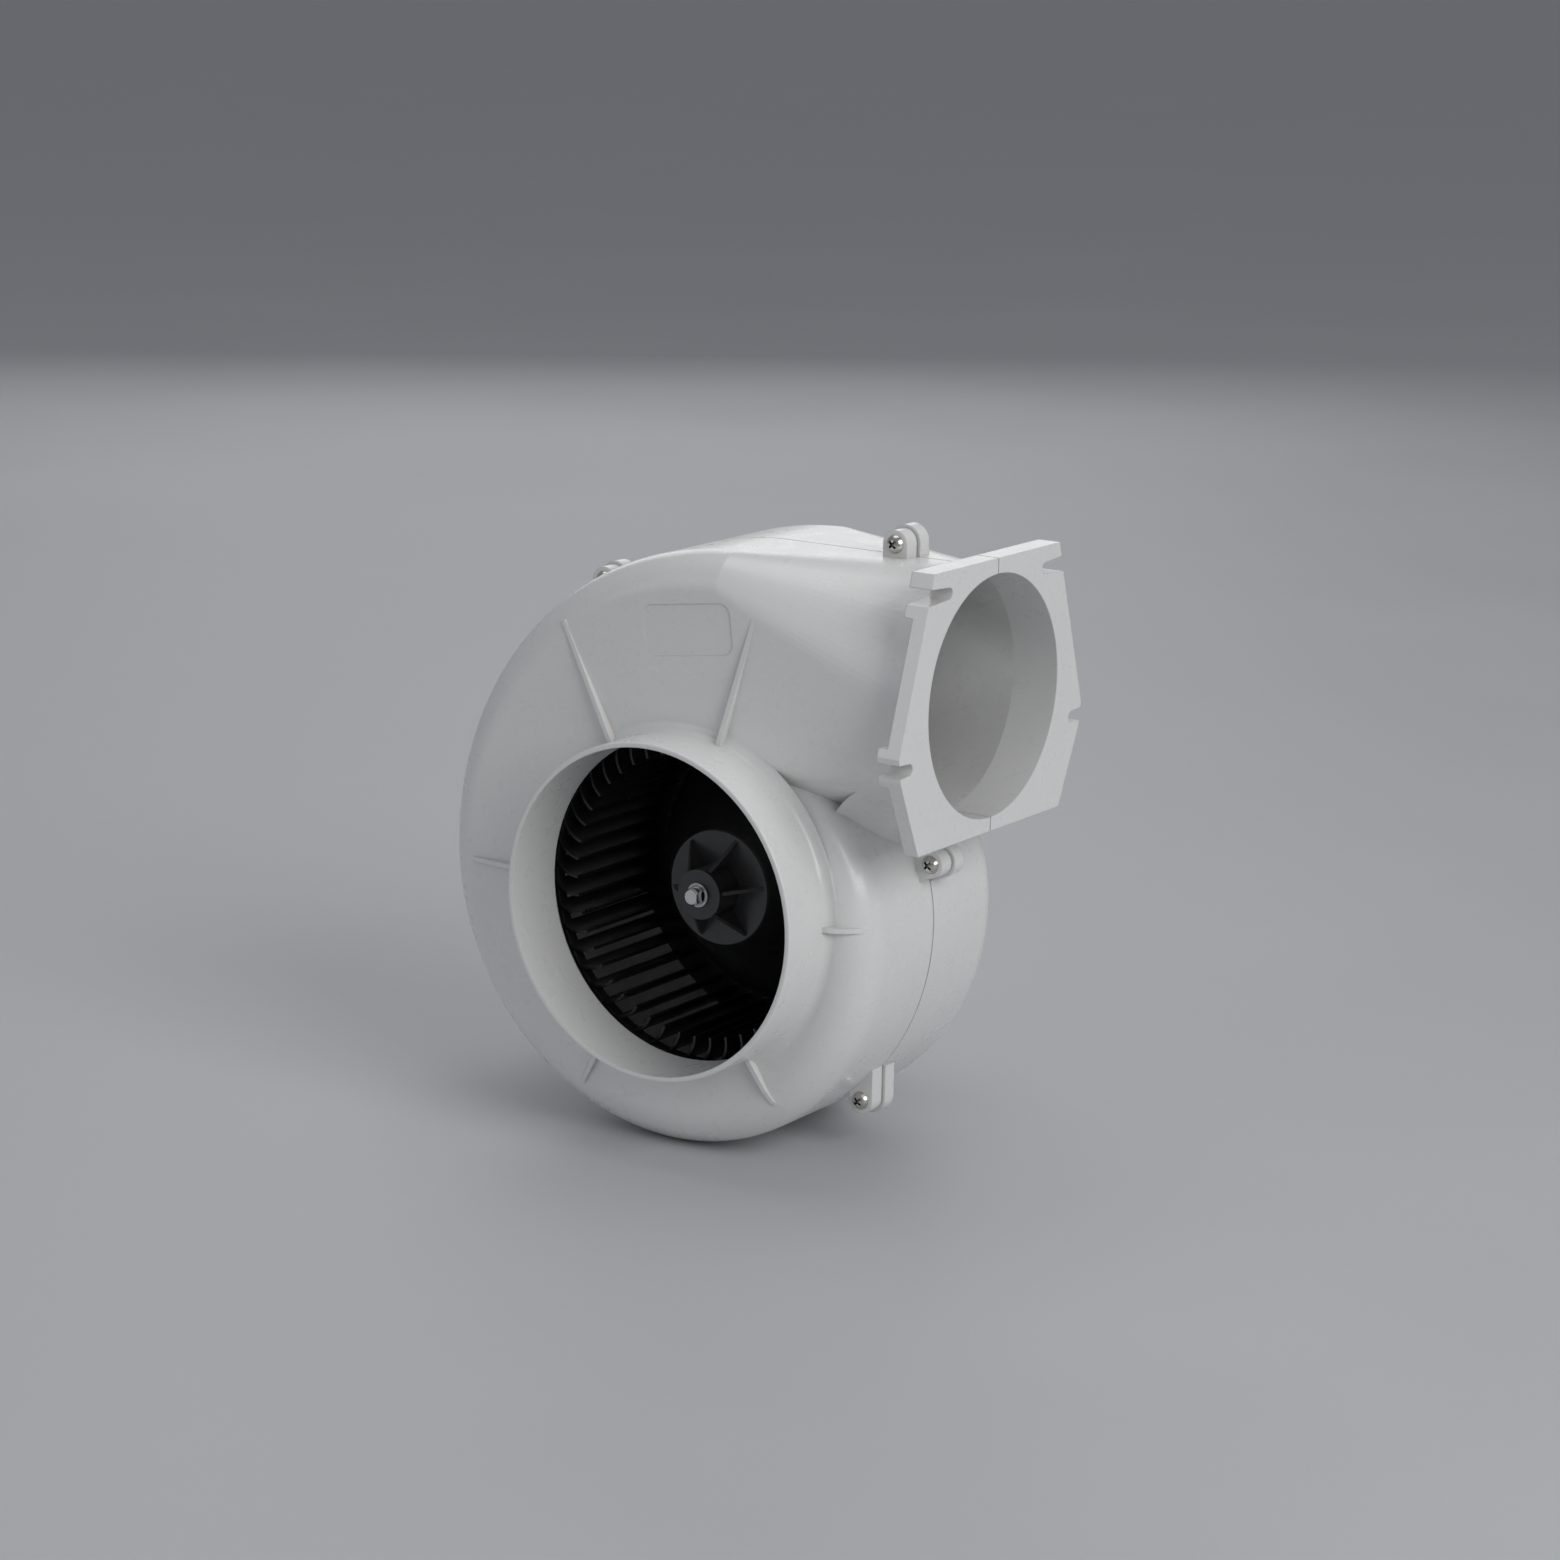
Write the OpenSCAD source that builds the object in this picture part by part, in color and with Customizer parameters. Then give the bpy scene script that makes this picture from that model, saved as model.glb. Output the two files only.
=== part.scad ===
// Flange-mount DC blower fan: a split scroll housing, a squirrel-cage impeller and the motor that turns it.
// Frame: the shaft lies on Y, the inlet collar opens towards -Y, the outlet towards +X, and Z is up.
// The origin is the centre of the inlet collar's rim.

/* [Scroll housing] */
// Outside radius of the scroll from its rightmost to its lowest point
scroll_r = 100.25; // [98:0.25:104]
// Growth of the scroll's radius as it passes a side of the housing
scroll_step = 25.5; // [24:0.5:27]
// Growth of the scroll's radius as it passes the bottom
scroll_rise = 12.5; // [10:0.5:14]
// Wall thickness of both housing halves
wall = 2.5; // [2:0.1:3]
// Rounding where the front side meets the scroll's rim
edge_round = 16; // [12:1:18]
// Rounding where the rear side meets the scroll's rim
rear_round = 12; // [8:1:14]
// Gap that shows as the seam between the two halves
seam_gap = 0.6; // [0.3:0.1:1]
// Concave radius under the outlet duct, where it meets the scroll
pocket_r = 12; // [10:0.5:13]

/* [Inlet collar] */
// Outside radius of the inlet collar
collar_r = 70; // [69:0.5:71]
// Wall thickness of the collar
collar_wall = 2.2; // [1.6:0.1:3]
// Length of the collar in front of the housing
collar_len = 26.5; // [20:0.5:34]
// How far the fillet at the collar's foot reaches past the ribs
foot_extra = 0.5; // [0.2:0.1:1.5]
// Rounding of the collar's rim
rim_round = 0.8; // [0.4:0.1:1]

/* [Outlet] */
// Radius of the round outlet bore
outlet_r = 49.4; // [47:0.2:51]
// Distance from the shaft axis to the flange's face
outlet_x = 113.2; // [110:0.2:122]
// Thickness of the flange plate
flange_t = 6.1; // [4:0.1:8]
// Thickness of the flange at its slots and along its top bar
pad_t = 10.2; // [8.5:0.1:13]
// Height of the flange's top edge above the outlet's axis
flange_up = 55.7; // [54.5:0.1:60]
// Depth of the flange's bottom edge below the outlet's axis
flange_down = 55.2; // [54.5:0.1:60]
// Half width of the flange at its top edge
flange_top_w = 47.9; // [46:0.1:50]
// Half width of the flange at its widest corners
flange_mid_w = 70; // [67:0.5:73]
// Half width of the flange at its bottom edge
flange_low_w = 54.2; // [52:0.1:56]
// Width of each mounting slot at its round inner end
slot_w = 4.6; // [4:0.1:5.4]
// How much wider each slot is at its mouth
slot_flare = 1.6; // [0.5:0.1:2]
// Height of the upper slots above the outlet's axis
slot_up = 46.6; // [46:0.1:47.2]
// Half span between the inner ends of the upper slots
slot_up_y = 34.2; // [33:0.1:37]
// Depth of the lower slots below the outlet's axis
slot_down = 18.8; // [17:0.1:21]
// Half span between the inner ends of the lower slots
slot_down_y = 60; // [58:0.1:62]

/* [Ribs, label pad and screw tabs] */
// Height of the ribs where they meet the collar
rib_h = 4; // [2:0.2:6]
// Thickness of the ribs
rib_t = 2.2; // [1.4:0.1:3]
// Width of the shallow pad for a label
label_w = 43; // [30:1:48]
// Height of the shallow pad for a label
label_h = 21; // [14:1:24]
// Depth of the shallow pad for a label
label_deep = 0.3; // [0.2:0.1:0.6]
// Radius of a front screw tab
tab_r = 5.6; // [5:0.1:6.4]
// How much larger the rear tab is in radius
tab_extra = 1.3; // [0.8:0.1:2]
// Depth of a front screw tab
tab_front = 7.4; // [6:0.2:9]
// Depth of a rear screw tab
tab_rear = 7; // [6:0.2:10]
// Distance of a tab's screw from the scroll's rim
tab_out = 5.4; // [4.8:0.1:6]

/* [Screws] */
// Diameter of the housing screws
screw_d = 4.2; // [3.5:0.1:4.8]
// Diameter of the housing screws' heads
screw_head_d = 8; // [7:0.1:8.8]
// Height of the housing screws' heads
screw_head_h = 2.6; // [2:0.1:3]
// Radial clearance round the screws
screw_fit = 0.1; // [0.05:0.05:0.3]

/* [Impeller] */
// Outside radius of the impeller
impeller_r = 72; // [70.5:0.25:72.5]
// Radius at the blades' inner edges
blade_in_r = 59.4; // [58:0.2:61]
// Number of blades
blade_n = 48; // [36:2:52]
// Thickness of a blade
blade_t = 1.2; // [1:0.1:1.4]
// Length of the blades along the shaft
blade_len = 62.6; // [58:0.2:66]
// Running gap between the front wall and the impeller
front_run = 4.7; // [3.5:0.1:6]
// Width of the impeller's front ring along the shaft
ring_len = 5; // [3:0.5:8]
// Radial thickness of the impeller's front ring
ring_t = 2; // [1.4:0.1:3]
// Thickness of the back plate and its cone
plate_t = 2.5; // [1.8:0.1:3]
// Radius of the hub's front disc
disc_r = 24; // [22:0.5:26]
// Distance from the blades' front ends to the hub disc
disc_in = 17.9; // [15:0.1:20]
// Radius of the hub's boss
boss_r = 10.5; // [9:0.1:12]
// Height of the boss in front of the hub disc
boss_h = 14.3; // [12:0.1:15]
// Length of the hub's sleeve behind the disc
sleeve_len = 22; // [16:0.5:24]

/* [Shaft] */
// Diameter of the motor shaft
shaft_d = 7.5; // [7:0.05:8]
// Depth of the flat on the shaft
shaft_flat = 0.9; // [0.5:0.05:1.2]
// How far the shaft's tip stands out of the boss
shaft_tip = 5.7; // [4:0.1:8]
// Running clearance between the shaft and its bearings
run_fit = 0.05; // [0.02:0.01:0.08]
// Seating clearance between the shaft and what it carries
seat_fit = 0.02; // [0.01:0.01:0.05]

/* [Motor] */
// Outside radius of the motor can
motor_r = 36; // [35:0.25:37]
// Length of the motor can
motor_len = 74; // [70:0.5:80]
// Wall thickness of the motor can
can_wall = 2.4; // [1.8:0.1:2.8]
// Distance from the rear wall in to the floor of the motor well
well_deep = 46; // [43:0.5:47]
// Gap round the motor in its well
well_gap = 0.5; // [0.3:0.1:0.8]
// Length of the end bell
bell_len = 13; // [11:0.5:16]
// Thickness of the field magnets
magnet_t = 4; // [3:0.1:4.5]
// Air gap between the magnets and the armature
air_gap = 0.9; // [0.6:0.1:1.4]
// Length of the armature's stack
core_len = 32; // [28:0.5:34]
// Number of slots in the armature
core_slots = 12; // [8:1:14]
// Radius of the commutator
comm_r = 10; // [9:0.25:11]
// Length of the commutator
comm_len = 13; // [11:0.5:14]

/* [Hidden] */
$fn = 96;

// Places along the shaft
half_depth = outlet_r + wall;
front_y = collar_len;
seam_y = front_y + half_depth;
rear_y = seam_y + half_depth;
blade_y = front_y + wall + front_run;
plate_y = blade_y + blade_len;
disc_y = blade_y + disc_in;
boss_y = disc_y - boss_h;
tip_y = boss_y - shaft_tip;
flat_end = boss_y + boss_h + sleeve_len + 1;
floor_t = 3;
floor_y = rear_y - well_deep;
can_y = floor_y + floor_t;
bell_y = can_y + motor_len;
motor_end = bell_y + bell_len;
bell_wall = 3;
shaft_end = motor_end - bell_wall - 0.5;

// The scroll's quarter turns have their centres on the corners of a small rectangle near the shaft
right_x = 0.5 + scroll_step / 2;
left_x = 0.5 - scroll_step / 2;
high_z = scroll_rise / 2 - 1;
low_z = -scroll_rise / 2 - 1;
quarter_c = [[right_x, low_z], [left_x, low_z], [left_x, high_z], [right_x, high_z]];
quarter_r = [scroll_r - scroll_step, scroll_r, scroll_r + scroll_rise, scroll_r + scroll_rise + scroll_step];
scroll_top = high_z + quarter_r[3];
duct_r = half_depth;
duct_z = scroll_top - duct_r;
duct_low = duct_z - duct_r;

// Centre of the concave pocket under the duct, tangent to the duct and to the scroll's first quarter
pocket_z = duct_low - pocket_r;
pocket_x = right_x + sqrt(pow(quarter_r[0] + pocket_r, 2) - pow(pocket_z - low_z, 2));
pocket_span = 90 + atan2(pocket_z - low_z, pocket_x - right_x);
pocket_reach = pocket_r + 20;
round_x = pocket_x;

eps = 0.01;
over = 1;
thin = 0.02;
big = 600;
steel = [0.72, 0.73, 0.75];
abs_white = [0.93, 0.93, 0.92];
abs_black = [0.06, 0.06, 0.065];

// Turns a shape drawn round Z so that it lies round the shaft axis; its height then runs along +Y
module along_shaft(y = 0) {
    translate([0, y, 0]) rotate([-90, 0, 0]) children();
}

// Stands a (Y, Z) outline on the X axis, with its thickness along +X
module facing_x(x) {
    translate([x, 0, 0]) rotate([90, 0, 90]) children();
}

module tube(r_out, r_in, h) {
    difference() {
        cylinder(r = r_out, h = h);
        translate([0, 0, -1]) cylinder(r = r_in, h = h + 2);
    }
}

// ---------------------------------------------------------------- scroll housing

// Half section of the scroll from its own centre, with the flat side at y0 and the rim rounded
module half_section(r, y0, y1, round_r) {
    difference() {
        translate([0, y0]) square([r, y1 - y0]);
        translate([r - round_r, y0]) difference() {
            translate([0, -eps]) square([round_r + eps, round_r + eps]);
            translate([0, round_r]) circle(r = round_r);
        }
    }
}

// One quarter turn of the scroll, moved in by inset on every side
module quarter(i, inset, y1, round_r) {
    translate([quarter_c[i][0], 0, quarter_c[i][1]])
        along_shaft()
            rotate_extrude(angle = 90, start = 90 * (i + 3))
                half_section(quarter_r[i] - inset, front_y + inset, y1, round_r - inset);
}

// Outlet duct: a rounded square at the scroll that becomes round before the flange
module duct(inset, x1, round_r) {
    corner = round_r - inset;
    corner_off = duct_r - round_r;
    hull() {
        for (sy = [-1, 1], sz = [-1, 1])
            translate([right_x, seam_y + sy * corner_off, duct_z + sz * corner_off])
                rotate([0, 90, 0]) cylinder(r = corner, h = thin);
        translate([round_x - thin, seam_y, duct_z])
            rotate([0, 90, 0]) cylinder(r = duct_r - inset, h = thin);
    }
    translate([round_x - thin, seam_y, duct_z])
        rotate([0, 90, 0]) cylinder(r = duct_r - inset, h = x1 - round_x + thin);
}

// Material in the corner under the duct, cut by the pocket's concave radius
module pocket_fill(y1) {
    translate([pocket_x, 0, pocket_z])
        along_shaft()
            rotate_extrude(angle = pocket_span, start = 270 - pocket_span)
                intersection() {
                    translate([pocket_r, front_y]) square([pocket_reach - pocket_r, y1 - front_y]);
                    translate([pocket_r + duct_r, seam_y]) circle(r = duct_r);
                }
}

// Closed half of the scroll and duct, from its flat side to y1
module scroll_half(inset, y1, x1, round_r) {
    for (i = [0 : 3]) quarter(i, inset, y1, round_r);
    translate([left_x, front_y + inset, low_z]) cube([scroll_step, y1 - front_y - inset, scroll_rise]);
    intersection() {
        duct(inset, x1, round_r);
        translate([-big / 2, y1 - big, -big / 2]) cube([big, big, big]);
    }
}

// Screw tabs round the scroll: quarter turn, angle of the screw, angle of the tab, extra distance from the rim
tab_top_x = 69.5;
tab_list = [[0, 19.7, 19.7, 1.6], [1, -47.3, -90, 0.4], [3, 128, 128, -1.2], [2, 190, 190, 0]];
tab_points = concat(
    [[tab_top_x, scroll_top + tab_out, 90, tab_out + wall / 2]],
    [for (t = tab_list) let (c = quarter_c[t[0]], r = quarter_r[t[0]] + tab_out + t[3])
        [c[0] + r * cos(t[1]), c[1] + r * sin(t[1]), t[2],
         (tab_out + t[3]) / cos(t[2] - t[1]) + wall / 2 + tab_r * abs(tan(t[2] - t[1]))]]);

// A tab with a round end whose root lies in the scroll's wall
module tab(p, r, y0, y1) {
    translate([p[0], y0, p[1]]) rotate([0, -p[2], 0]) {
        along_shaft() cylinder(r = r, h = y1 - y0);
        translate([-p[3], 0, -r]) cube([p[3], y1 - y0, 2 * r]);
    }
}

module tab_holes(y0, y1) {
    for (p = tab_points)
        translate([p[0], y0, p[1]]) along_shaft() cylinder(d = screw_d + 2 * screw_fit, h = y1 - y0);
}

// Outline of one half of the flange, drawn to one side of the seam and a little past it
side_low = flange_mid_w - (flange_mid_w - flange_low_w) * slot_down / flange_down;
side_z = -slot_down + slot_w / 2 + slot_flare / 2 + 2;
module flange_outline() {
    polygon([[-over, flange_up], [flange_top_w, flange_up], [flange_top_w + 3.5, flange_up - 12],
             [flange_mid_w, side_z], [flange_mid_w - 1.5, -slot_down - slot_w],
             [flange_low_w, -flange_down], [-over, -flange_down]]);
}

// Open slot with a round inner end and a flared mouth
module slot_cut(inner_y, z) {
    reach = 30;
    flare = slot_flare / 2;
    translate([inner_y + slot_w / 2, z]) {
        circle(d = slot_w, $fn = 32);
        polygon([[0, slot_w / 2], [reach, slot_w / 2 + flare * reach / 12],
                 [reach, -slot_w / 2 - flare * reach / 12], [0, -slot_w / 2]]);
    }
}

module slot_cuts() {
    slot_cut(slot_up_y, slot_up);
    slot_cut(slot_down_y, -slot_down);
}

// Areas of the flange that are thicker: the top bar and the pads beside the slots
module pad_areas() {
    pad = slot_w / 2 + 6;
    translate([-over, slot_up]) square([2 * flange_mid_w, flange_up]);
    translate([slot_up_y - 4, slot_up - pad]) square([flange_mid_w, pad]);
    translate([slot_down_y - 5, -slot_down - pad + 1.5]) square([flange_mid_w, 2 * pad - 1.5]);
}

// One half of the flange: side is -1 in front of the seam and 1 behind it
module flange_half(side) {
    translate([0, seam_y, duct_z]) mirror([0, side < 0 ? 1 : 0, 0]) {
        facing_x(outlet_x - flange_t) linear_extrude(flange_t)
            difference() {
                flange_outline();
                slot_cuts();
            }
        facing_x(outlet_x - pad_t) linear_extrude(pad_t - flange_t)
            difference() {
                intersection() {
                    flange_outline();
                    pad_areas();
                }
                slot_cuts();
            }
    }
}

// How far the rounded rim has fallen back at radius r in this direction; under the duct it has not
function quarter_at(angle) = floor((720 - angle) % 360 / 90 + 1) % 4;
function rim_gap(angle, r, i) = quarter_r[i] - norm([r * cos(angle), r * sin(angle)] - quarter_c[i]);
function rim_drop(angle, r, round_r) =
    let (u = r * sin(angle) > duct_low ? 0 : round_r - rim_gap(angle, r, quarter_at(angle)))
    u > 0 ? round_r - sqrt(round_r * round_r - u * u) : 0;

// Wedge-shaped rib on a flat side: full height at radius r0, running out on the side at radius r1
module rib(angle, r0, r1, round_r) {
    drop = rim_drop(angle, r1, round_r);
    steps = drop > 0 ? 5 : 1;
    rotate([0, -angle, 0]) translate([0, 0, -rib_t / 2]) linear_extrude(rib_t)
        polygon(concat(
            [for (k = [0 : steps]) let (r = r0 + (r1 - r0) * k / steps)
                [r, rim_drop(angle, r, round_r) - rib_h * (1 - k / steps)]],
            [[r1, drop + wall / 2], [r0, drop + wall / 2]]));
}

// Directions of the ribs and how far out they reach
rib_list = [[120, 125], [75, 125], [0, 85], [-60, 95], [-120, 106], [180, 116]];
rear_rib_list = [[120, 112], [75, 112], [0, 82], [-60, 92], [-120, 102], [180, 108]];

module ribs(list, r0, round_r) {
    for (item = list) rib(item[0], r0, item[1], round_r);
}

// Section of the collar: a straight tube with a rounded rim and a concave foot
collar_fillet = rib_h + foot_extra;
module collar_section() {
    inner = collar_r - collar_wall;
    difference() {
        translate([inner, 0]) square([collar_wall, front_y + wall]);
        translate([collar_r - rim_round, 0]) difference() {
            translate([0, -eps]) square([rim_round + eps, rim_round + eps]);
            translate([0, rim_round]) circle(r = rim_round);
        }
    }
    translate([collar_r, front_y - collar_fillet]) difference() {
        square([collar_fillet, collar_fillet + wall / 2]);
        translate([collar_fillet, 0]) circle(r = collar_fillet);
    }
}

label_angle = 7.5;
label_z = 112;
label_corner = 5;
module label_pad() {
    translate([0, front_y - 1, label_z]) rotate([-90, -label_angle, 0])
        linear_extrude(1 + label_deep) {
            square([label_w - 2 * label_corner, label_h], center = true);
            square([label_w, label_h - 2 * label_corner], center = true);
            for (sx = [-1, 1], sy = [-1, 1])
                translate([sx * (label_w / 2 - label_corner), sy * (label_h / 2 - label_corner)])
                    circle(r = label_corner);
        }
}

// Everything to one side of a plane across the shaft: towards +Y from y, or towards -Y with side -1
module beyond(y, side) {
    translate([-big / 2, side > 0 ? y : y - big, -big / 2]) cube([big, big, big]);
}

// Least room round the impeller where the scroll's rim passes closest to it
run_room = 1;
module front_housing() {
    edge = seam_y - seam_gap / 2;
    color(abs_white) difference() {
        union() {
            scroll_half(0, seam_y + over, outlet_x - 1, edge_round);
            pocket_fill(seam_y + over);
            flange_half(-1);
            translate([0, front_y, 0]) ribs(rib_list, collar_r - collar_wall / 2, edge_round);
            for (p = tab_points) tab(p, tab_r, edge - tab_front, seam_y + over);
            along_shaft() rotate_extrude() collar_section();
        }
        scroll_half(wall, seam_y + 2 * over, outlet_x + 1, edge_round);
        along_shaft(-1) cylinder(r = collar_r - collar_wall, h = front_y + wall + 2);
        along_shaft(blade_y - run_room) cylinder(r = impeller_r + run_room, h = half_depth);
        tab_holes(edge - tab_front - 1, seam_y + 2 * over);
        label_pad();
        beyond(edge, 1);
    }
}

// Closed half of the scroll behind the seam: the front half mirrored across it
module rear_side() {
    translate([0, 2 * seam_y, 0]) mirror([0, 1, 0]) children();
}

well_r = motor_r + well_gap;
module rear_housing() {
    color(abs_white) difference() {
        union() {
            difference() {
                union() {
                    rear_side() {
                        scroll_half(0, seam_y + over, outlet_x - 1, rear_round);
                        pocket_fill(seam_y + over);
                        translate([0, front_y, 0]) ribs(rear_rib_list, well_r + wall / 2, rear_round);
                    }
                    flange_half(1);
                    for (p = tab_points) tab(p, tab_r + tab_extra, seam_y - over, seam_y + tab_rear);
                }
                rear_side() scroll_half(wall, seam_y + 2 * over, outlet_x + 1, rear_round);
                tab_holes(seam_y - 2 * over, seam_y + tab_rear + 1);
                beyond(seam_y + seam_gap / 2, -1);
            }
            along_shaft(floor_y) cylinder(r = well_r + wall, h = rear_y - floor_y);
        }
        along_shaft(can_y) cylinder(r = well_r, h = rear_y - can_y + rib_h + 1);
        along_shaft(floor_y - 1) cylinder(r = nose_r + 0.3, h = floor_t + 2);
        motor_screw_holes(floor_y - 1, floor_t + 2, motor_screw_d + 2 * screw_fit);
    }
}

// ---------------------------------------------------------------- screws

// Pan head with a cross recess, its seat at height 0 and its shank along +Z
module pan_screw(d, head_d, head_h, length) {
    dome_r = (head_d * head_d / 4 + head_h * head_h * 1.44) / (2 * head_h * 1.2);
    cross_w = head_d * 0.13;
    cross_l = head_d * 0.5;
    difference() {
        intersection() {
            translate([0, 0, -head_h]) cylinder(d = head_d, h = head_h);
            translate([0, 0, dome_r - head_h]) sphere(r = dome_r);
        }
        for (a = [45, 135]) rotate([0, 0, a])
            translate([-cross_l / 2, -cross_w / 2, -head_h - 1]) cube([cross_l, cross_w, 1 + head_h * 0.6]);
    }
    cylinder(d = d, h = length);
}

module housing_screws() {
    seat_y = seam_y - seam_gap / 2 - tab_front;
    color(steel) for (p = tab_points)
        translate([p[0], 0, p[1]]) along_shaft(seat_y)
            pan_screw(screw_d, screw_head_d, screw_head_h, tab_front + tab_rear - 1);
}

motor_screw_d = 4;
motor_screw_r = 22;
module motor_screw_holes(y, h, d) {
    for (a = [0, 180]) along_shaft(y) rotate([0, 0, a]) translate([motor_screw_r, 0, 0]) cylinder(d = d, h = h);
}

module motor_screws() {
    color(steel) for (a = [0, 180])
        along_shaft(floor_y) rotate([0, 0, a]) translate([motor_screw_r, 0, 0])
            pan_screw(motor_screw_d, 7.4, 2.4, floor_t + can_wall);
}

// ---------------------------------------------------------------- impeller and shaft

// Round bore or shaft with one flat
module d_shape(r, flat) {
    intersection() {
        circle(r = r);
        translate([-r, -r]) square([2 * r - flat, 2 * r]);
    }
}

blade_phase = 1.4;
blade_bend = 13;
// The blade ends in the middle of the front ring
blade_out_r = impeller_r - ring_t / 2;
blade_turn = atan2(blade_bend, blade_in_r) + asin(
    (pow(blade_out_r, 2) - pow(blade_in_r, 2) - 2 * pow(blade_bend, 2)) / (2 * blade_bend * norm([blade_in_r, blade_bend])));

// Forward-curved blade: it leaves the eye radially and bends into the direction of rotation
module blade() {
    translate([blade_in_r, blade_bend, blade_y])
        rotate_extrude(angle = blade_turn, start = 270)
            translate([blade_bend - blade_t / 2, 0]) square([blade_t, blade_len + plate_t / 2]);
}

// Half section of the back plate, its cone and the hub disc
module plate_section() {
    foot = blade_in_r - 1;
    polygon([[impeller_r, plate_y], [impeller_r, plate_y + plate_t], [foot - 1, plate_y + plate_t],
             [disc_r - plate_t, disc_y + plate_t], [0, disc_y + plate_t], [0, disc_y], [disc_r, disc_y],
             [foot, plate_y]]);
}

ring_set = 0.6;
gusset_n = 6;
gusset_t = 1.6;
module impeller() {
    color(abs_black) difference() {
        union() {
            along_shaft() {
                rotate_extrude() plate_section();
                for (i = [0 : blade_n - 1]) rotate([0, 0, i * 360 / blade_n - blade_phase]) blade();
                translate([0, 0, blade_y + ring_set]) tube(impeller_r, impeller_r - ring_t, ring_len);
                translate([0, 0, boss_y]) cylinder(r = boss_r, h = boss_h + sleeve_len);
                for (i = [0 : gusset_n - 1]) rotate([0, 0, -8 + i * 360 / gusset_n])
                    translate([0, gusset_t / 2, 0]) rotate([90, 0, 0]) linear_extrude(gusset_t)
                        polygon([[0, boss_y + 2], [boss_r, boss_y + 2], [disc_r - 1, disc_y + eps],
                                 [disc_r - 2, disc_y + plate_t / 2], [0, disc_y + plate_t / 2]]);
            }
        }
        along_shaft(boss_y - 1) linear_extrude(boss_h + sleeve_len + 2)
            d_shape(shaft_d / 2 + seat_fit, shaft_flat);
    }
}

module hub_clip() {
    clip_t = 1.1;
    color(steel) along_shaft(boss_y - clip_t) tube(shaft_d / 2 + 1.3, shaft_d / 2, clip_t);
}

module motor_shaft() {
    r = shaft_d / 2;
    chamfer = 0.8;
    color(steel) difference() {
        along_shaft() rotate_extrude()
            polygon([[0, tip_y], [r - chamfer, tip_y], [r, tip_y + chamfer], [r, shaft_end], [0, shaft_end]]);
        translate([r - shaft_flat, tip_y - 1, -r - 1]) cube([r, flat_end - tip_y + 1, 2 * r + 2]);
    }
}

// ---------------------------------------------------------------- motor

bearing_r = 8;
bearing_len = 8;
nose_r = 10.8;
nose_len = 5;
can_in = motor_r - can_wall;
core_r = can_in - magnet_t - air_gap;
washer_t = 0.8;
end_gap = 0.3;
wind_over = 9;
rear_bearing_y = motor_end - bell_wall - bearing_len + 1;
comm_y = rear_bearing_y - 2 * end_gap - washer_t - comm_len;
core_y = comm_y - 1 - wind_over - core_len;
front_bearing_y = can_y - nose_len + 1;
bolt_d = 3.5;
bolt_r = can_in - bolt_d / 2 - 0.8;
bolt_seat = motor_end;

module bolt_holes(y, h) {
    for (a = [90, 270]) along_shaft(y) rotate([0, 0, a]) translate([bolt_r, 0, 0])
        cylinder(d = bolt_d + 2 * screw_fit, h = h);
}

module motor_can() {
    color([0.12, 0.12, 0.13]) difference() {
        along_shaft() {
            translate([0, 0, can_y]) difference() {
                cylinder(r = motor_r, h = motor_len);
                translate([0, 0, can_wall]) cylinder(r = can_in, h = motor_len);
            }
            translate([0, 0, can_y - nose_len]) cylinder(r = nose_r, h = nose_len + bearing_len - 1);
        }
        along_shaft(can_y - nose_len - 1) cylinder(r = bearing_r, h = nose_len + bearing_len + 3);
        motor_screw_holes(can_y - 1, can_wall + 2, motor_screw_d + 2 * screw_fit);
        bolt_holes(can_y - 1, can_wall + 2);
    }
}

// Section of the end bell: a shallow cup with a rounded rear edge and a boss for the bearing
module bell_section() {
    edge = 1.8;
    boss = bearing_r + 2.6;
    difference() {
        square([motor_r, bell_len]);
        translate([boss, -1]) square([can_in - 3 - boss, bell_len - bell_wall + 1]);
        translate([-1, -1]) square([boss + 1.01, rear_bearing_y - bell_y + 1]);
        translate([motor_r - edge, bell_len - edge]) difference() {
            square([edge + eps, edge + eps]);
            circle(r = edge);
        }
    }
}

grommet_r = 22;
grommet_angle = 135;
grommet_hole = 4.2;
module at_grommet(y) {
    along_shaft(y) rotate([0, 0, grommet_angle]) translate([grommet_r, 0, 0]) children();
}

module motor_end_bell() {
    color([0.2, 0.2, 0.21]) difference() {
        along_shaft(bell_y) rotate_extrude() bell_section();
        along_shaft(rear_bearing_y - 1) cylinder(r = bearing_r, h = bearing_len + 1);
        bolt_holes(bell_y - 1, bell_len + 2);
        at_grommet(motor_end - bell_wall - 1) cylinder(r = grommet_hole, h = bell_wall + 2);
    }
}

// Long bolts that hold the end bell, the brush card and the can together
module tie_bolts() {
    color(steel) for (a = [90, 270])
        along_shaft(bolt_seat) rotate([0, 0, a]) translate([bolt_r, 0, 0]) mirror([0, 0, 1])
            pan_screw(bolt_d, 6, 2.2, bolt_seat - can_y);
}

magnet_angle = 124;
module field_magnets() {
    color([0.22, 0.22, 0.24]) for (a = [0, 180])
        along_shaft(core_y - 2) rotate([0, 0, a - magnet_angle / 2])
            rotate_extrude(angle = magnet_angle)
                translate([can_in - magnet_t, 0]) square([magnet_t - seat_fit, core_len + 4]);
}

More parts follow.
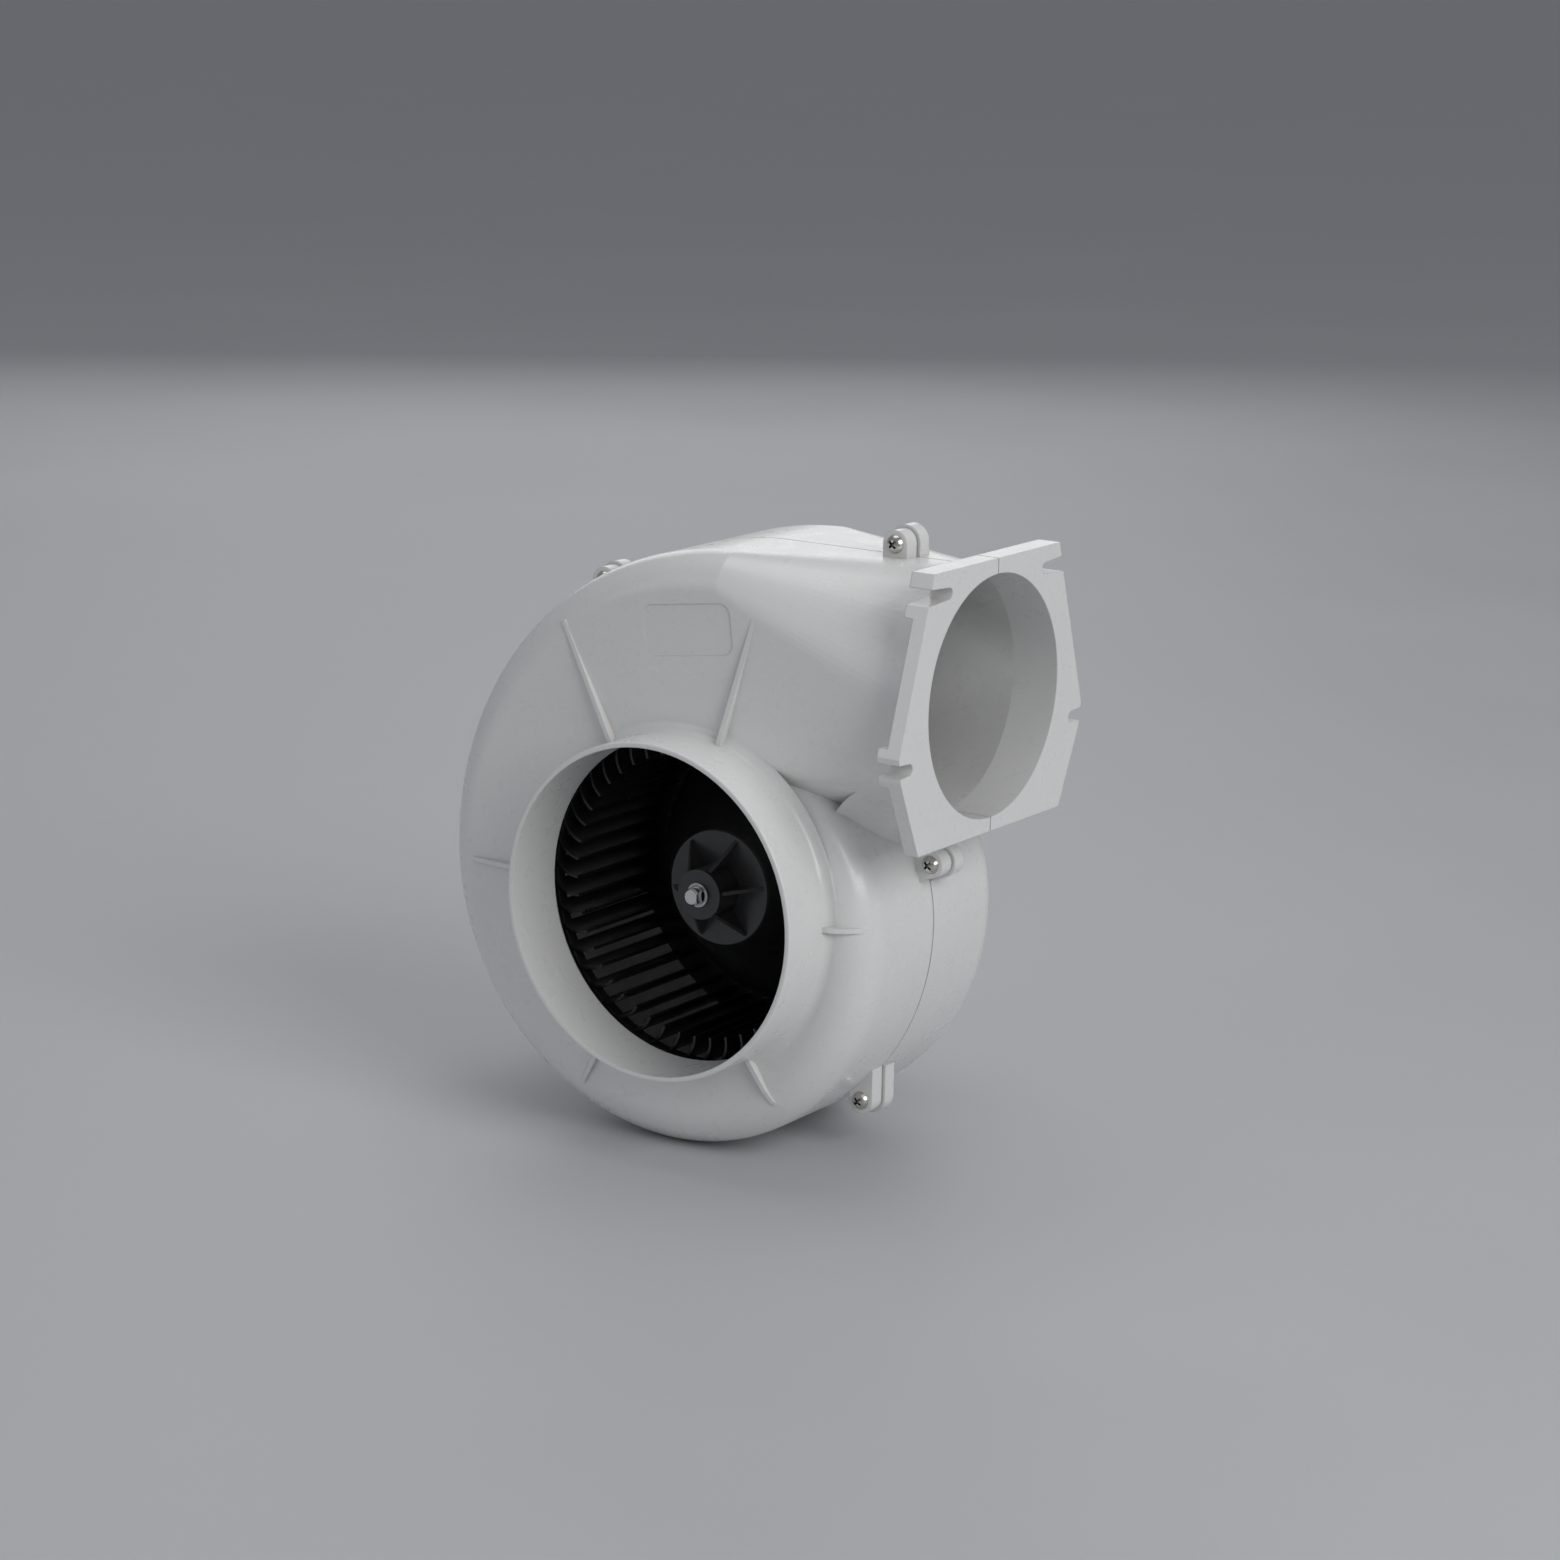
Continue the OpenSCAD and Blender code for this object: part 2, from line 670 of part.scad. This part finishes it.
// Spring strips that keep the magnets apart, with bent ends against the magnets' edges
module magnet_springs() {
    strip = 0.7;
    gap = 180 - magnet_angle - 2;
    tab_angle = 1.5;
    tab_in = can_in - 3;
    color(steel) for (a = [90, 270])
        along_shaft(core_y + 2) rotate([0, 0, a - gap / 2]) {
            rotate_extrude(angle = gap) translate([can_in - strip, 0]) square([strip, core_len - 4]);
            for (b = [0.3, gap - tab_angle - 0.3])
                rotate_extrude(angle = tab_angle, start = b)
                    translate([tab_in, 1]) square([can_in - strip / 2 - tab_in, core_len - 6]);
        }
}

module bearing(y) {
    color([0.7, 0.55, 0.3]) along_shaft(y) tube(bearing_r, shaft_d / 2 + run_fit, bearing_len);
}

module front_bearing() bearing(front_bearing_y);
module rear_bearing() bearing(rear_bearing_y);

// One armature slot seen along the shaft, drawn smaller by inset
module slot_shape(inset) {
    r0 = 12.5 + inset;
    r1 = core_r - 2.5 - inset;
    w0 = 1.5 - inset;
    w1 = 0.34 * PI * core_r / core_slots * 2 / 2 - inset;
    polygon([[r0, -w0], [r1, -w1], [r1, w1], [r0, w0]]);
}

module armature_core() {
    color([0.45, 0.45, 0.47]) along_shaft(core_y) difference() {
        cylinder(r = core_r, h = core_len);
        translate([0, 0, -1]) cylinder(r = shaft_d / 2 + seat_fit, h = core_len + 2);
        for (i = [0 : core_slots - 1]) rotate([0, 0, i * 360 / core_slots])
            translate([0, 0, -1]) linear_extrude(core_len + 2) {
                slot_shape(0);
                translate([core_r - 3, -1]) square([4, 2]);
            }
    }
}

// Half section of a winding's end turns
module end_turns() {
    r0 = 12.5;
    r1 = core_r - 3;
    round_r = 3;
    difference() {
        translate([r0, 0]) square([r1 - r0, wind_over]);
        translate([r1 - round_r, wind_over - round_r]) difference() {
            square([round_r + eps, round_r + eps]);
            circle(r = round_r);
        }
    }
}

module armature_windings() {
    color([0.72, 0.4, 0.2]) along_shaft() {
        translate([0, 0, core_y + core_len]) rotate_extrude() end_turns();
        translate([0, 0, core_y]) mirror([0, 0, 1]) rotate_extrude() end_turns();
        for (i = [0 : core_slots - 1]) rotate([0, 0, i * 360 / core_slots])
            translate([0, 0, core_y - 1]) linear_extrude(core_len + 2) slot_shape(0.15);
    }
}

module commutator() {
    slit = 0.6;
    color([0.8, 0.5, 0.3]) along_shaft(comm_y) difference() {
        union() {
            cylinder(r = comm_r, h = comm_len);
            cylinder(r = comm_r + 1.6, h = 1.6);
        }
        translate([0, 0, -1]) cylinder(r = shaft_d / 2 + seat_fit, h = comm_len + 2);
        for (i = [0 : core_slots - 1]) rotate([0, 0, (i + 0.5) * 360 / core_slots])
            translate([comm_r - 0.9, -slit / 2, -1]) cube([4, slit, comm_len + 2]);
    }
}

module thrust_washers() {
    color([0.75, 0.7, 0.55]) {
        along_shaft(front_bearing_y + bearing_len + end_gap) tube(6.5, shaft_d / 2 + seat_fit, washer_t);
        along_shaft(comm_y + comm_len + end_gap) tube(6.5, shaft_d / 2 + seat_fit, washer_t);
    }
}

// ---------------------------------------------------------------- brush gear

card_t = 2;
card_y = bell_y - card_t;
brush_w = 6;
brush_len = 11;
brush_gap = 0.15;
box_wall = 0.8;
box_w = brush_w + 0.2 + 2 * box_wall;
box_r = comm_r + 2.2;
box_len = 16;
box_y = card_y - box_w / 2;

// Places a shape drawn along +X beside the commutator, once on each side
module at_brushes() {
    for (a = [0, 180]) rotate([0, a, 0]) translate([0, box_y, 0]) children();
}

module brush_card() {
    color([0.45, 0.3, 0.15]) difference() {
        along_shaft(card_y) tube(can_in - 0.1, comm_r + 3, card_t);
        bolt_holes(card_y - 1, card_t + 2);
    }
}

module brush_boxes() {
    color([0.8, 0.65, 0.35]) at_brushes() difference() {
        translate([box_r, -box_w / 2, -box_w / 2]) cube([box_len, box_w, box_w]);
        translate([box_r - 1, -box_w / 2 + box_wall, -box_w / 2 + box_wall])
            cube([box_len + 1 - box_wall, box_w - 2 * box_wall, box_w - 2 * box_wall]);
    }
}

module brushes() {
    color([0.15, 0.15, 0.15]) at_brushes() difference() {
        translate([comm_r - 1, -brush_w / 2, -brush_w / 2]) cube([brush_len + 1, brush_w, brush_w]);
        translate([0, -box_y, 0]) along_shaft(box_y - brush_w) cylinder(r = comm_r + brush_gap, h = 2 * brush_w);
    }
}

// Round wire along a helix round X: six sides, twelve rings in each turn
spring_turns = 4;
ring_count = 12;
wire_sides = 6;
function helix_ring(k, x0, pitch, r, wire) = let (a = 360 * k / ring_count)
    [for (j = [0 : wire_sides - 1]) let (b = 360 * j / wire_sides)
        [x0 + pitch * k / ring_count + wire * sin(b), (r + wire * cos(b)) * cos(a), (r + wire * cos(b)) * sin(a)]];

module coil_spring(x0, length, r, wire) {
    last = spring_turns * ring_count;
    pitch = (length - 2 * wire) / spring_turns;
    points = [for (k = [0 : last]) each helix_ring(k, x0 + wire, pitch, r, wire)];
    sides = [for (k = [0 : last - 1], j = [0 : wire_sides - 1]) let (n = (j + 1) % wire_sides)
        [k * wire_sides + j, (k + 1) * wire_sides + j, (k + 1) * wire_sides + n, k * wire_sides + n]];
    polyhedron(points, concat(sides,
        [[for (j = [0 : wire_sides - 1]) j]],
        [[for (j = [wire_sides - 1 : -1 : 0]) last * wire_sides + j]]));
}

module brush_springs() {
    spring_x = comm_r + brush_len + 0.1;
    color(steel) at_brushes() coil_spring(spring_x, box_r + box_len - box_wall - 0.1 - spring_x, 2.2, 0.3);
}

module lead_grommet() {
    lip = 1.2;
    color([0.08, 0.08, 0.08]) at_grommet(motor_end - bell_wall - lip)
        rotate_extrude() polygon([[2.4, 0], [grommet_hole + 1.4, 0], [grommet_hole + 1.4, lip],
            [grommet_hole, lip], [grommet_hole, lip + bell_wall], [grommet_hole + 1.6, lip + bell_wall],
            [grommet_hole + 0.6, bell_wall + 2.4 * lip], [2.4, bell_wall + 2.4 * lip]]);
}

front_housing();
rear_housing();
housing_screws();
impeller();
hub_clip();
motor_shaft();
motor_can();
motor_end_bell();
tie_bolts();
motor_screws();
field_magnets();
magnet_springs();
front_bearing();
rear_bearing();
armature_core();
armature_windings();
commutator();
thrust_washers();
brush_card();
brush_boxes();
brushes();
brush_springs();
lead_grommet();
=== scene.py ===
"""Looks of the DC blower fan: a material for every CAD node, the floor, the lights and the camera."""
import math

import bpy
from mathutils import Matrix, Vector


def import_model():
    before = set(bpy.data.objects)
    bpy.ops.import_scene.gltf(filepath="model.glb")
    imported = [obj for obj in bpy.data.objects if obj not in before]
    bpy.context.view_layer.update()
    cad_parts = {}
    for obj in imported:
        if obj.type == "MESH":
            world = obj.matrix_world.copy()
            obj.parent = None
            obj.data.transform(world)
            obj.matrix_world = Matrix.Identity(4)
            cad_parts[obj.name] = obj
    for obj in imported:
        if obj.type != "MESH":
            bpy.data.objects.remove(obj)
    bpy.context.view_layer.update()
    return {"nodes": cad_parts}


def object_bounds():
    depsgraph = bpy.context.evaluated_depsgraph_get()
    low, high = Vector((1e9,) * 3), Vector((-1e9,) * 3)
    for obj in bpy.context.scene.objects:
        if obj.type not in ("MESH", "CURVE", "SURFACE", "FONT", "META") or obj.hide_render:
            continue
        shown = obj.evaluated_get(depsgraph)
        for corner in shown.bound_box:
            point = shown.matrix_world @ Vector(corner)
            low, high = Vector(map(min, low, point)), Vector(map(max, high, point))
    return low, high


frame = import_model()
nodes = frame["nodes"]


# ------------------------------------------------------------------ shader helpers

class Shader:
    """A principled material built from procedural nodes in object coordinates, which are metres."""

    def __init__(self, name, **sockets):
        self.mat = bpy.data.materials.new(name)
        self.mat.use_nodes = True
        self.tree = self.mat.node_tree
        self.bsdf = self.tree.nodes["Principled BSDF"]
        for key, value in sockets.items():
            self.bsdf.inputs[key.replace("_", " ")].default_value = value
        self.place = self.add("ShaderNodeTexCoord").outputs["Object"]
        self.normal_out = None

    def add(self, kind, **settings):
        node = self.tree.nodes.new(kind)
        for key, value in settings.items():
            setattr(node, key, value)
        return node

    def feed(self, socket, value):
        if isinstance(value, bpy.types.NodeSocket):
            self.tree.links.new(value, socket)
        else:
            socket.default_value = value

    def stretched(self, x, y, z):
        node = self.add("ShaderNodeMapping")
        self.feed(node.inputs["Vector"], self.place)
        node.inputs["Scale"].default_value = (x, y, z)
        return node.outputs["Vector"]

    def noise(self, scale, detail=3.0, rough=0.5, warp=0.0, at=None):
        node = self.add("ShaderNodeTexNoise")
        self.feed(node.inputs["Vector"], at or self.place)
        node.inputs["Scale"].default_value = scale
        node.inputs["Detail"].default_value = detail
        node.inputs["Roughness"].default_value = rough
        node.inputs["Distortion"].default_value = warp
        return node.outputs["Fac"]

    def cells(self, scale):
        node = self.add("ShaderNodeTexVoronoi")
        self.feed(node.inputs["Vector"], self.place)
        node.inputs["Scale"].default_value = scale
        return node.outputs["Distance"]

    def waves(self, scale, warp, direction):
        node = self.add("ShaderNodeTexWave", wave_type="BANDS", bands_direction=direction)
        self.feed(node.inputs["Vector"], self.place)
        node.inputs["Scale"].default_value = scale
        node.inputs["Distortion"].default_value = warp
        node.inputs["Detail"].default_value = 2.0
        return node.outputs["Fac"]

    def axis(self, name):
        node = self.add("ShaderNodeSeparateXYZ")
        self.feed(node.inputs[0], self.place)
        return node.outputs[name]

    def maths(self, operation, a, b=0.0):
        """One Math node; the square root uses only the first value."""
        node = self.add("ShaderNodeMath", operation=operation)
        self.feed(node.inputs[0], a)
        self.feed(node.inputs[1], b)
        return node.outputs[0]

    def remap(self, value, low, high, out_low=0.0, out_high=1.0):
        node = self.add("ShaderNodeMapRange")
        for slot, number in zip(("Value", "From Min", "From Max", "To Min", "To Max"),
                                (value, low, high, out_low, out_high)):
            self.feed(node.inputs[slot], number)
        return node.outputs["Result"]

    def mix(self, amount, a, b):
        node = self.add("ShaderNodeMix", data_type="RGBA")
        self.feed(node.inputs["Factor"], amount)
        for slot, colour in ((node.inputs[6], a), (node.inputs[7], b)):
            self.feed(slot, colour if isinstance(colour, bpy.types.NodeSocket) else (*colour, 1.0))
        return node.outputs[2]

    def painted_crease_shade(self, reach, low=0.3, high=0.95):
        """1 deep in a crease and 0 on open surface: an ambient-occlusion mask for painting shade into
        creases.
        """
        node = self.add("ShaderNodeAmbientOcclusion", samples=6)
        node.inputs["Distance"].default_value = reach
        return self.remap(node.outputs["AO"], low, high, 1.0, 0.0)

    def soften(self, radius):
        node = self.add("ShaderNodeBevel", samples=6)
        node.inputs["Radius"].default_value = radius
        self.normal_out = node.outputs["Normal"]

    def bump(self, height, strength, distance):
        node = self.add("ShaderNodeBump")
        node.inputs["Strength"].default_value = strength
        node.inputs["Distance"].default_value = distance
        self.feed(node.inputs["Height"], height)
        if self.normal_out:
            self.feed(node.inputs["Normal"], self.normal_out)
        self.normal_out = node.outputs["Normal"]

    def done(self, colour, roughness):
        self.feed(self.bsdf.inputs["Base Color"], colour)
        self.feed(self.bsdf.inputs["Roughness"], roughness)
        if self.normal_out:
            self.feed(self.bsdf.inputs["Normal"], self.normal_out)
        return self.mat


# ------------------------------------------------------------------ materials

def white_plastic():
    s = Shader("white_abs", IOR=1.52, Coat_Weight=0.2, Coat_Roughness=0.12)
    cloud = s.noise(11.0, 4.0, 0.55)
    colour = s.mix(s.remap(cloud, 0.3, 0.7), (0.80, 0.795, 0.78), (0.83, 0.827, 0.815))
    specks = s.remap(s.noise(900.0, 2.0, 0.5), 0.70, 0.76)
    colour = s.mix(s.maths("MULTIPLY", specks, 0.18), colour, (0.55, 0.54, 0.52))
    # Painted shade mixed with grime: the white darkens towards grey in creases found by ambient
    # occlusion, broken up by noise.
    crease_shade_and_grime = s.maths("MULTIPLY", s.painted_crease_shade(0.008), s.remap(s.noise(60.0, 4.0), 0.25, 0.75, 0.25, 0.75))
    colour = s.mix(crease_shade_and_grime, colour, (0.52, 0.515, 0.50))
    roughness = s.remap(s.noise(120.0, 5.0, 0.65), 0.3, 0.7, 0.24, 0.36)
    s.soften(0.0007)
    s.bump(s.noise(16.0, 1.0, 0.4), 0.25, 0.0006)
    s.bump(s.noise(1500.0, 2.0, 0.5), 0.12, 0.00004)
    return s.done(colour, roughness)


# The hub's disc and boss lie inside this radius and in front of this place on the shaft, in metres; there
# the black is painted lighter, as painted light on the disc that faces the lamps.
HUB_RADIUS = 0.0246
HUB_END_Y = 0.0524


def black_plastic():
    s = Shader("black_plastic", IOR=1.5, Coat_Weight=0.15, Coat_Roughness=0.2)
    radius = s.maths("SQRT", s.maths("ADD", s.maths("MULTIPLY", s.axis("X"), s.axis("X")),
                                     s.maths("MULTIPLY", s.axis("Z"), s.axis("Z"))))
    near_hub = s.maths("LESS_THAN", radius, HUB_RADIUS)
    in_front = s.maths("LESS_THAN", s.axis("Y"), HUB_END_Y)
    hub = s.maths("MULTIPLY", near_hub, in_front)
    grain = s.remap(s.noise(260.0, 4.0, 0.6), 0.3, 0.7)
    body = s.mix(grain, (0.007, 0.007, 0.0075), (0.013, 0.013, 0.0135))
    hub_painted_light = s.mix(grain, (0.030, 0.030, 0.031), (0.040, 0.040, 0.041))
    # Painted light: the hub's disc and boss get a lighter charcoal than the blades, standing in for light
    # falling on the disc.
    colour = s.mix(hub, body, hub_painted_light)
    dust = s.maths("MULTIPLY", s.remap(s.noise(420.0, 3.0, 0.6), 0.52, 0.75), 0.25)
    colour = s.mix(dust, colour, (0.06, 0.058, 0.055))
    roughness = s.remap(s.noise(90.0, 4.0), 0.3, 0.7, 0.26, 0.40)
    s.soften(0.0004)
    s.bump(s.noise(40.0, 1.0), 0.2, 0.0004)
    s.bump(s.noise(1200.0, 2.0), 0.15, 0.00005)
    return s.done(colour, roughness)


def turned_metal(name, light, dark, rough_low, rough_high, ring_scale=1400.0):
    """Steel or bronze turned on a lathe, with fine rings along the shaft axis and painted shade in its
    creases.
    """
    s = Shader(name, Metallic=1.0)
    rings = s.noise(1.0, 3.0, 0.6, 0.0, s.stretched(25.0, ring_scale, 25.0))
    stain = s.remap(s.noise(130.0, 4.0, 0.6), 0.35, 0.75)
    colour = s.mix(s.maths("MULTIPLY", stain, 0.5), light, dark)
    # Painted shade: the metal darkens in creases found by ambient occlusion.
    colour = s.mix(s.maths("MULTIPLY", s.painted_crease_shade(0.0015), 0.8), colour, tuple(c * 0.25 for c in dark))
    s.soften(0.0002)
    s.bump(rings, 0.25, 0.00003)
    return s.done(colour, s.remap(rings, 0.3, 0.7, rough_low, rough_high))


def plated_screw():
    s = Shader("nickel_plate", Metallic=1.0)
    stain = s.remap(s.noise(500.0, 4.0, 0.6), 0.4, 0.75)
    colour = s.mix(s.maths("MULTIPLY", stain, 0.4), (0.66, 0.64, 0.60), (0.42, 0.40, 0.36))
    # Painted shade: the plating goes nearly black in recesses found by ambient occlusion.
    colour = s.mix(s.painted_crease_shade(0.0022, 0.25, 0.9), colour, (0.03, 0.028, 0.025))
    s.soften(0.00025)
    s.bump(s.noise(2500.0, 3.0), 0.25, 0.00002)
    return s.done(colour, s.remap(stain, 0.0, 1.0, 0.2, 0.36))


def enamel():
    s = Shader("can_enamel", IOR=1.5, Coat_Weight=0.4, Coat_Roughness=0.1)
    worn = s.remap(s.noise(70.0, 5.0, 0.65), 0.35, 0.7)
    colour = s.mix(worn, (0.018, 0.018, 0.020), (0.034, 0.034, 0.036))
    s.soften(0.0005)
    s.bump(s.cells(650.0), 0.18, 0.00008)
    return s.done(colour, s.remap(worn, 0.0, 1.0, 0.28, 0.42))


def cast_metal():
    s = Shader("cast_zinc", Metallic=0.9)
    mottle = s.remap(s.noise(180.0, 5.0, 0.6), 0.3, 0.7)
    colour = s.mix(mottle, (0.42, 0.42, 0.43), (0.55, 0.55, 0.56))
    # Painted shade: the casting darkens in creases found by ambient occlusion.
    colour = s.mix(s.maths("MULTIPLY", s.painted_crease_shade(0.003), 0.6), colour, (0.12, 0.12, 0.12))
    s.soften(0.0004)
    s.bump(s.noise(900.0, 4.0, 0.6), 0.35, 0.0001)
    return s.done(colour, s.remap(mottle, 0.0, 1.0, 0.42, 0.58))


def laminations():
    s = Shader("steel_laminations", Metallic=0.8)
    sheets = s.waves(310.0, 0.6, "Y")
    rust = s.remap(s.noise(240.0, 4.0, 0.6), 0.5, 0.8)
    colour = s.mix(sheets, (0.16, 0.16, 0.165), (0.34, 0.34, 0.35))
    colour = s.mix(s.maths("MULTIPLY", rust, 0.35), colour, (0.20, 0.11, 0.06))
    s.bump(sheets, 0.5, 0.00008)
    return s.done(colour, s.remap(rust, 0.0, 1.0, 0.35, 0.6))


def enamelled_copper():
    s = Shader("enamelled_copper", Metallic=0.75, Coat_Weight=0.6, Coat_Roughness=0.15)
    wires = s.waves(420.0, 2.5, "DIAGONAL")
    colour = s.mix(wires, (0.22, 0.06, 0.02), (0.62, 0.23, 0.08))
    s.bump(wires, 0.8, 0.0003)
    return s.done(colour, s.remap(s.noise(300.0), 0.3, 0.7, 0.22, 0.38))


def layered(name, light, dark, scale, direction="Y", rough=(0.45, 0.65)):
    """Pressed or laminated sheet stuff, such as phenolic card or fibre."""
    s = Shader(name, IOR=1.5)
    bands = s.waves(scale, 1.5, direction)
    fleck = s.remap(s.noise(500.0, 4.0, 0.6), 0.35, 0.7)
    colour = s.mix(s.maths("MULTIPLY", bands, 0.6), light, dark)
    colour = s.mix(s.maths("MULTIPLY", fleck, 0.4), colour, dark)
    s.soften(0.0002)
    s.bump(fleck, 0.3, 0.00006)
    return s.done(colour, s.remap(fleck, 0.0, 1.0, *rough))


def rubber():
    s = Shader("grommet_rubber", IOR=1.5)
    bloom = s.remap(s.noise(350.0, 4.0, 0.6), 0.4, 0.75)
    colour = s.mix(bloom, (0.012, 0.012, 0.012), (0.045, 0.043, 0.040))
    s.soften(0.0003)
    s.bump(s.noise(1800.0, 2.0), 0.3, 0.00005)
    return s.done(colour, s.remap(bloom, 0.0, 1.0, 0.55, 0.75))


white = white_plastic()
black = black_plastic()
nickel = plated_screw()
spring = turned_metal("spring_steel", (0.60, 0.60, 0.60), (0.38, 0.37, 0.35), 0.22, 0.38, 500.0)
shaft = turned_metal("ground_steel", (0.72, 0.72, 0.72), (0.52, 0.51, 0.50), 0.14, 0.28)
bronze = turned_metal("sintered_bronze", (0.46, 0.29, 0.13), (0.20, 0.12, 0.06), 0.38, 0.55, 300.0)
copper_bars = turned_metal("commutator_copper", (0.66, 0.30, 0.14), (0.30, 0.13, 0.07),
                           0.25, 0.42, 900.0)
brass = turned_metal("stamped_brass", (0.62, 0.46, 0.18), (0.38, 0.27, 0.10), 0.25, 0.42, 60.0)

looks = {
    "front_housing": white, "rear_housing": white, "housing_screws": nickel, "tie_bolts": nickel,
    "motor_screws": nickel, "impeller": black, "hub_clip": spring, "magnet_springs": spring,
    "brush_springs": spring, "motor_shaft": shaft, "motor_can": enamel(), "motor_end_bell": cast_metal(),
    "front_bearing": bronze, "rear_bearing": bronze, "commutator": copper_bars, "brush_boxes": brass,
    "armature_core": laminations(), "armature_windings": enamelled_copper(),
    "field_magnets": layered("ferrite", (0.075, 0.075, 0.08), (0.035, 0.035, 0.038), 90.0, "Y",
                             (0.4, 0.6)),
    "thrust_washers": layered("fibre_washer", (0.50, 0.42, 0.26), (0.32, 0.25, 0.14), 1500.0),
    "brush_card": layered("phenolic", (0.20, 0.095, 0.04), (0.10, 0.045, 0.02), 700.0),
    "brushes": layered("carbon", (0.045, 0.045, 0.047), (0.018, 0.018, 0.019), 200.0, "X",
                       (0.35, 0.6)),
    "lead_grommet": rubber(),
}
for name, look in looks.items():
    for material_slot in nodes[name].material_slots:
        material_slot.material = look


# ------------------------------------------------------------------ floor, light and camera

FLOOR_GAP = 0.0005
FLOOR_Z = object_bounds()[0][2] - FLOOR_GAP
FLOOR_SIZE = 60.0
# The point in the housing that every softbox faces
AIM = Vector((0.0, 0.08, 0.02))

# Name, place and size in metres, power in watts and colour of each softbox
SOFTBOXES = [
    ("key", (2.1, -0.55, 1.15), (1.4, 1.4), 25.0, (1.0, 1.0, 1.0)),
    ("fill", (-1.2, -1.9, 0.9), (1.6, 1.2), 4.0, (0.95, 0.97, 1.0)),
    ("top", (-0.2, 0.3, 1.9), (1.6, 1.2), 8.0, (1.0, 1.0, 1.0)),
    ("back", (-1.4, 1.8, 0.9), (1.4, 1.2), 6.0, (1.0, 1.0, 1.0)),
]

# Light that the studio gives from all round, and the backdrop's colour as the camera sees it
SKY_COLOUR = (0.90, 0.93, 1.0, 1.0)
SKY_STRENGTH = 0.24
BACKDROP_COLOUR = (0.60, 0.61, 0.625, 1.0)

# The photograph's viewpoint: focal length and film width in millimetres, place in metres, turn in degrees
CAMERA_LENS = 89.81
CAMERA_FILM = 36.0
CAMERA_PLACE = (0.88597, -1.22366, 0.41218)
CAMERA_TURN = (76.731, -1.0986, 34.148)


def floor():
    bpy.ops.mesh.primitive_plane_add(size=FLOOR_SIZE, location=(0.0, 0.0, FLOOR_Z))
    plane = bpy.context.object
    plane.name = "floor"
    s = Shader("floor_paper", IOR=1.4)
    tone = s.remap(s.noise(3.0, 4.0), 0.3, 0.7)
    s.bump(s.noise(260.0, 3.0), 0.08, 0.0002)
    plane.data.materials.append(s.done(s.mix(tone, (0.54, 0.55, 0.565), (0.57, 0.58, 0.595)),
                                       s.remap(tone, 0.0, 1.0, 0.55, 0.7)))


def softbox(name, place, size, power, colour):
    light = bpy.data.lights.new(name, "AREA")
    light.shape = "RECTANGLE"
    light.size, light.size_y = size
    light.energy = power
    light.color = colour
    lamp = bpy.data.objects.new(name, light)
    lamp.location = place
    lamp.rotation_euler = (AIM - Vector(place)).to_track_quat("-Z", "Y").to_euler()
    bpy.context.scene.collection.objects.link(lamp)


def world():
    sky = bpy.data.worlds.new("studio")
    bpy.context.scene.world = sky
    sky.use_nodes = True
    tree = sky.node_tree
    tree.nodes.clear()
    path = tree.nodes.new("ShaderNodeLightPath")
    light, seen = tree.nodes.new("ShaderNodeBackground"), tree.nodes.new("ShaderNodeBackground")
    light.inputs["Color"].default_value = SKY_COLOUR
    light.inputs["Strength"].default_value = SKY_STRENGTH
    seen.inputs["Color"].default_value = BACKDROP_COLOUR
    seen.inputs["Strength"].default_value = 1.0
    mix, out = tree.nodes.new("ShaderNodeMixShader"), tree.nodes.new("ShaderNodeOutputWorld")
    tree.links.new(path.outputs["Is Camera Ray"], mix.inputs["Fac"])
    tree.links.new(light.outputs[0], mix.inputs[1])
    tree.links.new(seen.outputs[0], mix.inputs[2])
    tree.links.new(mix.outputs[0], out.inputs["Surface"])


def camera():
    lens = bpy.data.cameras.new("camera")
    lens.lens = CAMERA_LENS
    lens.sensor_width = CAMERA_FILM
    seat = bpy.data.objects.new("camera", lens)
    seat.location = CAMERA_PLACE
    seat.rotation_euler = [math.radians(angle) for angle in CAMERA_TURN]
    bpy.context.scene.collection.objects.link(seat)
    bpy.context.scene.camera = seat


camera()
floor()
world()
for box in SOFTBOXES:
    softbox(*box)

bpy.context.scene.view_settings.view_transform = "Standard"
